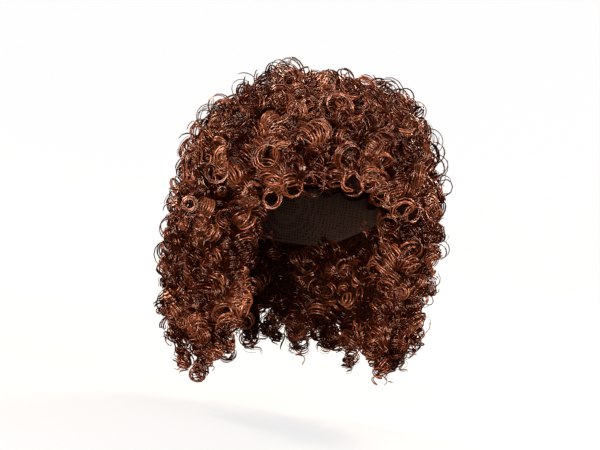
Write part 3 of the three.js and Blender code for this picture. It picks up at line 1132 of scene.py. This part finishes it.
def add_camera():
    back = Vector(
        (
            math.sin(VIEW_AZIMUTH) * math.cos(VIEW_ELEVATION),
            -math.cos(VIEW_AZIMUTH) * math.cos(VIEW_ELEVATION),
            math.sin(VIEW_ELEVATION),
        )
    )
    level_right = Vector((math.cos(VIEW_AZIMUTH), math.sin(VIEW_AZIMUTH), 0))
    level_up = back.cross(level_right)
    right = math.cos(VIEW_ROLL) * level_right + math.sin(VIEW_ROLL) * level_up
    up = -math.sin(VIEW_ROLL) * level_right + math.cos(VIEW_ROLL) * level_up
    data = bpy.data.cameras.new("camera")
    data.sensor_width = SENSOR_WIDTH
    data.lens = SENSOR_WIDTH * VIEW_DISTANCE / METRES_PER_PIXEL / FRAME_WIDTH
    camera = bpy.data.objects.new("camera", data)
    off_right = (VIEW_POINT_PIXEL[0] - FRAME_WIDTH / 2) * METRES_PER_PIXEL
    off_up = (FRAME_HEIGHT / 2 - VIEW_POINT_PIXEL[1]) * METRES_PER_PIXEL
    place = VIEW_POINT + back * VIEW_DISTANCE - right * off_right - up * off_up
    axes = Matrix((right, up, back)).transposed()
    camera.matrix_world = Matrix.Translation(place) @ axes.to_4x4()
    bpy.context.scene.collection.objects.link(camera)
    bpy.context.scene.camera = camera


def add_stage():
    """The floor and its bowl."""
    around = 2 * math.pi * np.arange(BOWL_AROUND) / BOWL_AROUND
    slope = np.linspace(0, math.pi / 2, BOWL_UP)
    wall = BOWL_RADIUS - BOWL_FLAT
    curve = BOWL_FLAT + wall * np.sin(slope)
    radius = np.concatenate(((BOWL_FLAT / 2,), curve, (BOWL_RADIUS,)))[:, None]
    height = np.concatenate(((0,), wall * (1 - np.cos(slope)), (BOWL_HEIGHT,)))[:, None]
    x, y = radius * np.cos(around), radius * np.sin(around)
    points = np.stack(np.broadcast_arrays(x, y, FLOOR_Z + height), -1).reshape(-1, 3)
    index = np.arange(len(points)).reshape(-1, BOWL_AROUND)
    after = np.roll(index, -1, axis=1)
    bands = np.stack((index[:-1], index[1:], after[1:], after[:-1]), -1).reshape(-1, 4)
    material, tree, shader = new_material("floor")
    tone = (FLOOR_TONE, FLOOR_TONE, FLOOR_TONE, 1)
    set_inputs(shader, {"Base Color": tone, "Roughness": FLOOR_ROUGHNESS})
    set_inputs(shader, {"Emission Color": (*WHITE, 1)})
    place = add_node(tree, "ShaderNodeTexCoord")
    away = add_node(tree, "ShaderNodeVectorMath", operation="LENGTH")
    tree.links.new(place.outputs["Object"], away.inputs[0])
    glow = add_range(tree, away.outputs["Value"], FLOOR_GLOW_AWAY, FLOOR_GLOW, "SMOOTHSTEP")
    tree.links.new(glow, shader.inputs["Emission Strength"])
    floor = new_object("floor", new_mesh("floor", points, [bands, index[:1]]), material)
    floor.visible_glossy = False
    floor.visible_diffuse = False


def add_lights():
    for name, place, size, power, colour in LIGHTS:
        data = bpy.data.lights.new(name, "AREA")
        data.size = size
        data.energy = power
        data.color = colour
        light = bpy.data.objects.new(name, data)
        light.location = place
        light.rotation_euler = (LIGHT_TARGET - Vector(place)).to_track_quat("-Z", "Y").to_euler()
        bpy.context.scene.collection.objects.link(light)
    world = bpy.data.worlds.new("world")
    world.use_nodes = True
    set_inputs(world.node_tree.nodes["Background"], {"Color": WORLD_TONE, "Strength": WORLD_STRENGTH})
    bpy.context.scene.world = world
    bpy.context.scene.view_settings.view_transform = "Standard"


add_camera()
add_stage()
add_lights()
hair = hair_material()
cap_piece(cap_material())
under_hair_piece(under_hair_material())

for name, node, rows, seed, *curls in UPPER_CURLS:
    strands = Strands(seed)
    for row in lock_rows(node)[slice(*rows)]:
        for lock in row:
            add_curls(strands, lock, *curls)
    hair_piece(name, node, strands, hair)

strands = Strands(FRINGE_LOOP_SEED)
add_fringe_loops(strands)
hair_piece("forehead_loops", "fringe", strands, hair)

strands = Strands(FILL_CURL_SEED)
for row in FILL_CURLS:
    add_fill_curls(strands, *row)
hair_piece("crown_fill_curls", "crown_hair", strands, hair)

strands = Strands(CROWN_ROSETTE_SEED)
for row in CROWN_ROSETTES:
    add_rosettes(strands, *row)
hair_piece("crown_rosettes", "crown_hair", strands, hair)

for node, seed, count, azimuths, heights in SIDE_ROSETTES:
    strands = Strands(seed)
    add_rosettes(strands, count, azimuths, heights, SIDE_ROSETTE_RADIUS)
    hair_piece(f"{node}_rosettes", node, strands, hair)

for node, seed, ringlets, spacing in LOWER_CURLS:
    strands = Strands(seed)
    for row in lock_rows(node):
        for lock in row:
            add_ringlets(strands, lock, ringlets)
            add_curls(strands, lock, spacing, HANGING_RADIUS, HANGING_REACH)
            add_curls(strands, lock, TIP_SPACING, TIP_RADIUS, TIP_REACH, TIP_SHARES)
    hair_piece(f"{node}_ringlets", node, strands, hair)

for node, seed, count, azimuths, heights in INNER_CURLS:
    strands = Strands(seed)
    add_inner_curls(strands, count, azimuths, heights)
    hair_piece(f"{node}_inner_curls", node, strands, hair)

for node, seed, count, azimuth, *heights in EDGE_CURLS:
    strands = Strands(seed)
    add_edge_curls(strands, count, math.radians(azimuth), *heights)
    hair_piece(f"{node}_edge_curls", node, strands, hair)

strands = Strands(FLY_AWAY_SEED)
for row in FLY_AWAYS:
    add_fly_aways(strands, *row)
hair_piece("crown_fly_aways", "crown_hair", strands, hair)
